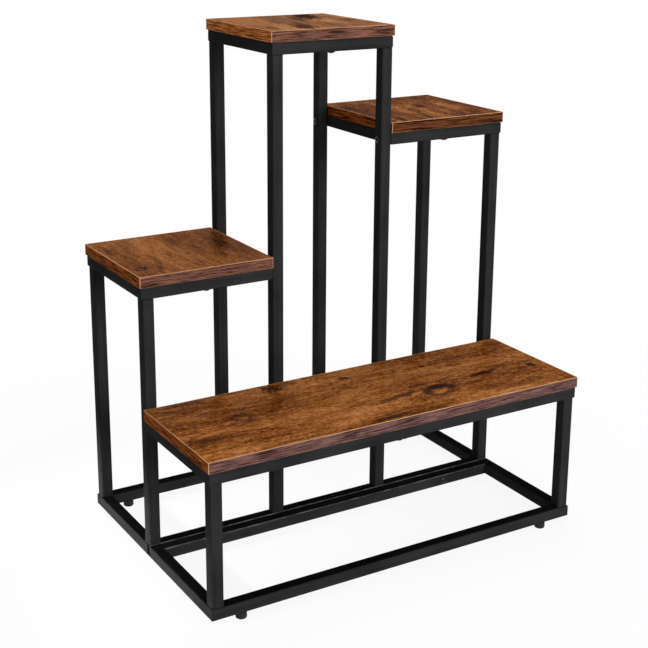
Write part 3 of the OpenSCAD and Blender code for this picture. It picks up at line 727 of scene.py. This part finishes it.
def band_ring(board, paint):
    """One closed ring round a board; its UV is metres along the band and up it."""
    low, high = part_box(board + "_edge_band")
    # The section from below: how far in from the outer face, how high, and how far the core shows there.
    section = [(BAND_T, low.z, 0.0)]
    for centre_z, first in ((low.z + ARRIS_R, -90), (high.z - ARRIS_R, 0)):
        for step in range(ARC_STEPS + 1):
            angle = math.radians(first + 90 * step / ARC_STEPS)
            shown = min(1.0, 2 * step / ARC_STEPS)
            if first < 0:
                shown = LOWER_ARRIS_SHOWN * math.sin(math.pi * step / ARC_STEPS)
            section.append((ARRIS_R * (1 - math.cos(angle)), centre_z + ARRIS_R * math.sin(angle), shown))
    section.append((BAND_T, high.z, 1.0))
    # The stations round the corners: the middle of the round, the way outwards, and how far the core shows.
    stations = []
    for corner, (x, y) in enumerate(((high.x, high.y), (low.x, high.y), (low.x, low.y), (high.x, low.y))):
        centre = Vector((x - math.copysign(BAND_CORNER_R, x - (low.x + high.x) / 2),
                         y - math.copysign(BAND_CORNER_R, y - (low.y + high.y) / 2)))
        for step in range(ARC_STEPS + 1):
            angle = math.radians(90 * (corner + step / ARC_STEPS))
            stations.append((centre, Vector((math.cos(angle), math.sin(angle))),
                             math.sin(math.pi * step / ARC_STEPS)))
    points, arris, side = [], [], []
    for centre, outward, corner_shown in stations:
        for inset, z, shown in section:
            flat = centre + outward * (BAND_CORNER_R - inset)
            points.append((flat.x, flat.y, z))
            arris.append(max(shown, corner_shown) if inset < BAND_T else shown)
            side.append(outward.x ** 2)
    walk, along, mid_round = [0.0], len(section), 1 + ARC_STEPS // 2
    for i in range(len(stations)):
        here = Vector(points[i * along + mid_round])
        there = Vector(points[(i + 1) % len(stations) * along + mid_round])
        walk.append(walk[-1] + (there - here).length)
    climb = [0.0]
    for before, after in zip(section, section[1:]):
        climb.append(climb[-1] + math.dist(before[:2], after[:2]))
    climb.append(climb[-1] + (high.z - low.z))
    faces, lays = [], []
    for i in range(len(stations)):
        j = (i + 1) % len(stations)
        for k in range(along):
            m = (k + 1) % along
            faces.append((i * along + k, j * along + k, j * along + m, i * along + m))
            lays.append(((walk[i], climb[k]), (walk[i + 1], climb[k]),
                         (walk[i + 1], climb[k + 1]), (walk[i], climb[k + 1])))
    mesh = bpy.data.meshes.new(board + "_band")
    mesh.from_pydata(points, [], faces)
    layer = mesh.uv_layers.new(name="band_lay")
    for face, corners in zip(mesh.polygons, lays):
        for loop, corner in zip(face.loop_indices, corners):
            layer.data[loop].uv = corner
    for name, values in (("arris", arris), ("side", side)):
        mesh.attributes.new(name, "FLOAT", "POINT").data.foreach_set("value", values)
    mesh.materials.append(paint)
    band = in_scene(board + "_band", mesh)
    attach(band, "stand")
    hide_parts(board + "_edge_band")


def attribute(tree, at, name):
    return node(tree, "ShaderNodeAttribute", at, attribute_name=name).outputs["Fac"]


def band_print(name, shift, front, side, cool=0.45, stripe_scale=(20, 620, 1)):
    """The striped print of a band; front and side are its (dark, light) colours on those faces."""
    made, tree, shader = material(name)
    lay = node(tree, "ShaderNodeUVMap", (-1500, 0), uv_map="band_lay").outputs[0]
    figure = use_group(tree, print_group, (-1200, 0), stretched(tree, (-1350, 0), lay, BAND_LAY),
                       Shift=shift, Wobble=0.010)
    stripe_lay = vector_maths(tree, "ADD", (-1350, -300), lay, shift)
    stripes = noise(tree, (-1000, -300), stretched(tree, (-1200, -300), stripe_lay, stripe_scale), 1.0, 3.0)
    tone = maths(tree, "ADD", (-700, 0), off_half(tree, (-900, 0), figure["Grain"], GRAIN_SHARE), 0.5)
    tone = maths(tree, "ADD", (-500, 0), tone, off_half(tree, (-700, -200), stripes, STRIPE_SHARE))
    mottle = off_half(tree, (-500, -200), figure["Mottle"], MOTTLE_SHARE)
    tone = maths(tree, "ADD", (-300, 0), tone, mottle, clamp=True)
    front_colour = blend(tree, (-300, 200), tone, *front)
    cool_share = spread(tree, (-300, 400), figure["Speckle"], *COOL_SPAN, 0.0, cool)
    front_colour = blend(tree, (-100, 200), cool_share, front_colour, COOL_BROWN)
    side_mottle = off_half(tree, (-300, -100), figure["Mottle"], SIDE_MOTTLE_SHARE)
    side_tone = maths(tree, "ADD", (-200, 0), tone, side_mottle, clamp=True)
    side_colour = blend(tree, (-100, 0), side_tone, *side)
    printed = blend(tree, (100, 100), attribute(tree, (-100, -200), "side"), front_colour, side_colour)
    wear = spread(tree, (-100, -600), figure["Broad"], *NOISE_SPAN, *CORE_WORN)
    worn = maths(tree, "MULTIPLY", (100, -200), attribute(tree, (-100, -400), "arris"), wear)
    feed(tree, shader, Base_Color=blend(tree, (400, 100), worn, printed, BAND_CORE),
         Roughness=spread(tree, (400, -100), figure["Mottle"], *NOISE_SPAN, *BAND_ROUGH),
         Normal=bump(tree, (400, -300), tone, 0.3, STRIPE_DEPTH), Specular_IOR_Level=BAND_GLOSS)
    return made


band_ring("bench", band_print("bench_band_print", (0.0, 0.3, 0.0), PURPLE_BROWN, ORANGE_BROWN))
band_ring("left", band_print("left_band_print", (2.3, 0.7, 0.0), PLUM_BROWN, ORANGE_BROWN))
band_ring("centre", band_print("centre_band_print", (4.1, 1.1, 0.0), PLUM_BROWN, LIT_ORANGE_BROWN))
band_ring("right", band_print(
    "right_band_print", (6.2, 1.9, 0.0), RED_BROWN, ORANGE_BROWN, cool=0.10, stripe_scale=(13, 330, 1)))

# Bolts and screws
# M6 steel with domed heads and hex sockets, blackened; the edges are rubbed a little bright by the key.
# They hold the boards, the legs' ends, and the towers and frames to each other.
BLACKENED, BLACK_RUBBED = (0.0035, 0.0035, 0.0038), (0.016, 0.016, 0.016)
BLACK_ROUGH, BLACK_GRAIN, BLACK_GLOSS = 0.18, 1800.0, 0.20
KEYED_EDGE = 2.4
BLOTCH_SCALE, BLOTCH_DARK = 420.0, 0.75
BLOTCH_SMOOTHER, BLOTCH_ROUGHER = 0.06, 0.10
STEEL_RUB = (0.2, 0.9)
STEEL_GRAIN_HEIGHT = 0.04 * MM


def coated_steel(name, dark, bright, metal, rough, grain_scale, gloss=0.50):
    """Plated or blackened steel with rubbed edges and a slightly uneven gloss."""
    made, tree, shader = material(name)
    place, skin, lie = surface(tree, grain_scale, KEYED_EDGE)
    blotch = noise(tree, (-900, 300), place, BLOTCH_SCALE, 4.0, 0.6)
    darker = tuple(BLOTCH_DARK * c for c in dark)
    tone = blend(tree, (-400, 200), spread(tree, (-600, 300), blotch, *NOISE_SPAN), darker, dark)
    edge_amount = spread(tree, (-600, -200), skin["Peel"], *NOISE_SPAN, *STEEL_RUB)
    edge_share = maths(tree, "MULTIPLY", (-400, -200), lie["Edge"], edge_amount)
    smoothest, roughest = rough - BLOTCH_SMOOTHER, rough + BLOTCH_ROUGHER
    feed(tree, shader, Base_Color=blend(tree, (-100, 200), edge_share, tone, bright),
         Roughness=spread(tree, (-100, 0), blotch, *NOISE_SPAN, smoothest, roughest),
         Normal=bump(tree, (-100, -200), skin["Peel"], 0.3, STEEL_GRAIN_HEIGHT),
         Metallic=metal, Specular_IOR_Level=gloss)
    return made


black_steel = coated_steel("blackened_steel", BLACKENED, BLACK_RUBBED, metal=0.0,
                           rough=BLACK_ROUGH, grain_scale=BLACK_GRAIN, gloss=BLACK_GLOSS)
for name in ("leg_bolts", "board_screws", "tower_bolts", "bench_bolts", "base_bolts"):
    finish_node(name, black_steel)

# Nuts and inserts
# Zinc-plated steel: inserts pressed into the boards, nuts welded inside the rails,
# and the feet's nuts riveted into the base rails' undersides.
ZINC, ZINC_RUBBED = (0.52, 0.53, 0.54), (0.72, 0.73, 0.74)
ZINC_ROUGH, ZINC_GRAIN = 0.34, 1400.0
zinc_plate = coated_steel(
    "zinc_plate", ZINC, ZINC_RUBBED, metal=1.0, rough=ZINC_ROUGH, grain_scale=ZINC_GRAIN)
for name in ("board_inserts", "weld_nuts", "foot_nuts"):
    finish_node(name, zinc_plate)

# Leg plugs
# Moulded black plugs, pressed into both ends of every leg.
# A thread in each takes the leg's bolt.
PLUG_BLACK = ((0.020, 0.020, 0.021), (0.034, 0.034, 0.035))
SCUFFED_BLACK, SCUFF_SHARE = (0.09, 0.09, 0.09), 0.30
MOULDED_EDGE, SPARK_GRAIN, FLOW_SCALE = 1.6, 2600.0, 120.0
PLASTIC_ROUGH, PLASTIC_GLOSS = (0.60, 0.76), 0.15


def moulded_plastic(name, dark, light, grain_height):
    """Black moulded plastic with a fine spark-eroded grain and slightly polished edges."""
    made, tree, shader = material(name)
    place, skin, lie = surface(tree, SPARK_GRAIN, MOULDED_EDGE)
    flow = noise(tree, (-900, 300), place, FLOW_SCALE, 3.0)
    tone = blend(tree, (-400, 200), spread(tree, (-600, 300), flow, *NOISE_SPAN), dark, light)
    scuffed = maths(tree, "MULTIPLY", (-400, -200), lie["Edge"], SCUFF_SHARE)
    feed(tree, shader, Base_Color=blend(tree, (-100, 200), scuffed, tone, SCUFFED_BLACK),
         Roughness=spread(tree, (-100, 0), skin["Gloss"], *NOISE_SPAN, *PLASTIC_ROUGH),
         Normal=bump(tree, (-100, -200), skin["Peel"], 0.4, grain_height), Specular_IOR_Level=PLASTIC_GLOSS)
    return made


finish_node("leg_plugs", moulded_plastic("plug_plastic", *PLUG_BLACK, 0.04 * MM))

# Levelling feet
# A moulded pad on an M6 stud, which screws into the base rail's riveted nut.
# Screwing a foot out lifts that corner, so each foot is its own body.
FEET = ("front_left", "front_right", "rear_left", "rear_right")
PAD_BLACK = ((0.012, 0.012, 0.012), (0.022, 0.022, 0.022))
STUD_ZINC, STUD_RUBBED = (0.46, 0.47, 0.48), (0.66, 0.67, 0.68)
STUD_ROUGH = 0.36
THREAD_PITCH = 1.0 * MM
THREAD_DEPTH = 0.54 * MM
THREAD_SIDES = 32
STEPS_A_TURN = 8
# How far round a half turn the thread's flank starts and ends.
FLANK_SPAN = (0.12, 0.88)
PAD_SIDES, ROUND_STEPS = 64, 6
# The pad's rounds, its draught, the shallow hollow under it, and the recess round the stud on top.
PAD_ROUND, PAD_TOP_ROUND, PAD_DRAUGHT = 2.8 * MM, 0.7 * MM, 0.25 * MM
HOLLOW_DEPTH, HOLLOW_INSET, HOLLOW_RIM_INSET = 0.4 * MM, 4.6 * MM, 4.2 * MM
RECESS_DEPTH, RECESS_ROOM, RECESS_RIM_ROOM = 0.5 * MM, 1.8 * MM, 2.2 * MM

# A plain rod whose points are drawn in by a helix of the thread's depth, with both tips bevelled.
thread, thread_in, thread_out = geometry_group(
    "threaded_stud", [("Length", "Float", 20 * MM), ("Radius", "Float", 3 * MM),
                      ("Pitch", "Float", THREAD_PITCH), ("Depth", "Float", THREAD_DEPTH),
                      ("Sides", "Int", THREAD_SIDES), ("Rings", "Int", 160), ("Finish", "Material", None)])
stud_given = thread_in.outputs
blank = node(thread, "GeometryNodeMeshCylinder", (-1000, 300), fill_type="NGON",
             Vertices=stud_given["Sides"], Side_Segments=stud_given["Rings"],
             Radius=stud_given["Radius"], Depth=stud_given["Length"])
stud_point = node(thread, "GeometryNodeInputPosition", (-1200, -200)).outputs[0]
stud_x, stud_y, stud_z = node(thread, "ShaderNodeSeparateXYZ", (-1000, -200), Vector=stud_point).outputs
round_turn = maths(thread, "DIVIDE", (-600, -200), maths(
    thread, "ARCTAN2", (-800, -200), stud_y, stud_x), 2 * math.pi)
up_turns = maths(thread, "DIVIDE", (-600, -400), stud_z, stud_given["Pitch"])
phase = maths(thread, "FRACT", (-200, -300), maths(
    thread, "SUBTRACT", (-400, -300), up_turns, round_turn))
flank = maths(thread, "ABSOLUTE", (200, -300), maths(
    thread, "SUBTRACT", (100, -300), maths(thread, "MULTIPLY", (0, -300), phase, 2.0), 1.0))
flat_crest = spread(thread, (400, -300), flank, *FLANK_SPAN, kind="LINEAR")
cut = maths(thread, "MULTIPLY", (500, -300), flat_crest, stud_given["Depth"])
half_length = maths(thread, "MULTIPLY", (-200, -500), stud_given["Length"], 0.5)
to_tip = maths(thread, "SUBTRACT", (0, -500), half_length, maths(
    thread, "ABSOLUTE", (-200, -600), stud_z))
bevelled = maths(thread, "SUBTRACT", (200, -500), stud_given["Depth"], to_tip)
deepest = maths(thread, "MAXIMUM", (600, -400), cut, bevelled)
cut_radius = maths(thread, "SUBTRACT", (700, -400), stud_given["Radius"], deepest)
cut_share = maths(thread, "DIVIDE", (800, -400), cut_radius, stud_given["Radius"])
squeeze = node(thread, "ShaderNodeCombineXYZ", (900, -400), X=cut_share, Y=cut_share, Z=1.0)
cut_point = vector_maths(thread, "MULTIPLY", (1000, -200), stud_point, squeeze.outputs[0])
cut_thread = node(thread, "GeometryNodeSetPosition", (-600, 300), Position=cut_point)
stud_smooth = node(thread, "GeometryNodeSetShadeSmooth", (-400, 300))
on_foot = node(thread, "GeometryNodeInstanceOnPoints", (-100, 500))
stud_real = node(thread, "GeometryNodeRealizeInstances", (200, 500))
stud_finish = node(thread, "GeometryNodeSetMaterial", (500, 500), Material=stud_given["Finish"])
chain(thread, blank, cut_thread, stud_smooth, on_foot.inputs["Instance"])
chain(thread, stud_given["Geometry"], on_foot, stud_real, stud_finish, thread_out.inputs["Geometry"])


def lathe(name, centre, profile, sides, paint):
    """A closed turned piece; its profile of (radius, height) runs from the axis below to the axis above."""
    points = [(centre.x, centre.y, profile[0][1])]
    for radius, z in profile[1:-1]:
        for i in range(sides):
            angle = 2 * math.pi * i / sides
            points.append((centre.x + radius * math.cos(angle), centre.y + radius * math.sin(angle), z))
    points.append((centre.x, centre.y, profile[-1][1]))
    last, faces = len(points) - 1, []
    for i in range(sides):
        j = (i + 1) % sides
        faces.append((0, 1 + j, 1 + i))
        for ring in range(len(profile) - 3):
            lower, upper = 1 + ring * sides, 1 + (ring + 1) * sides
            faces.append((lower + i, lower + j, upper + j, upper + i))
        faces.append((last - sides + i, last - sides + j, last))
    mesh = bpy.data.meshes.new(name)
    mesh.from_pydata(points, [], faces)
    mesh.materials.append(paint)
    turned_piece = in_scene(name, mesh)
    smooth_shade(turned_piece)
    return turned_piece


def quarter(radius_centre, z_centre, r, first):
    """Points of a quarter round, from the angle first to 90 degrees more."""
    angles = [math.radians(first + 90 * i / ROUND_STEPS) for i in range(ROUND_STEPS + 1)]
    return [(radius_centre + r * math.cos(angle), z_centre + r * math.sin(angle)) for angle in angles]


pad_plastic = moulded_plastic("pad_plastic", *PAD_BLACK, 0.05 * MM)
stud_zinc = coated_steel(
    "stud_zinc", STUD_ZINC, STUD_RUBBED, metal=1.0, rough=STUD_ROUGH, grain_scale=ZINC_GRAIN)
for place in FEET:
    body = "foot_" + place
    low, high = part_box("foot_pad_" + place)
    middle = (low + high) / 2
    radius, height = (high.x - low.x) / 2, high.z - low.z
    stud_low, stud_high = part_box("foot_stud_" + place)
    stud_radius = (stud_high.x - stud_low.x) / 2
    profile = [(0, HOLLOW_DEPTH), (radius - HOLLOW_INSET, HOLLOW_DEPTH), (radius - HOLLOW_RIM_INSET, 0)]
    profile += quarter(radius - PAD_ROUND, PAD_ROUND, PAD_ROUND, -90)
    profile += quarter(radius - PAD_DRAUGHT - PAD_TOP_ROUND, height - PAD_TOP_ROUND, PAD_TOP_ROUND, 0)
    recess = height - RECESS_DEPTH
    profile += [(stud_radius + RECESS_RIM_ROOM, height), (stud_radius + RECESS_ROOM, recess),
                (stud_radius / 2, recess), (0, recess)]
    pad = lathe("pad_" + place, middle, profile, PAD_SIDES, pad_plastic)
    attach(pad, body)
    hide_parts("foot_pad_" + place)
    stud_length = stud_high.z - stud_low.z
    point = bpy.data.meshes.new("stud_point")
    point.from_pydata([((stud_low + stud_high) / 2)[:]], [], [])
    stud = grown("stud_" + place, point, thread, Length=stud_length, Radius=stud_radius,
                 Rings=round(stud_length / THREAD_PITCH * STEPS_A_TURN), Finish=stud_zinc)
    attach(stud, body)
    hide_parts("foot_stud_" + place)
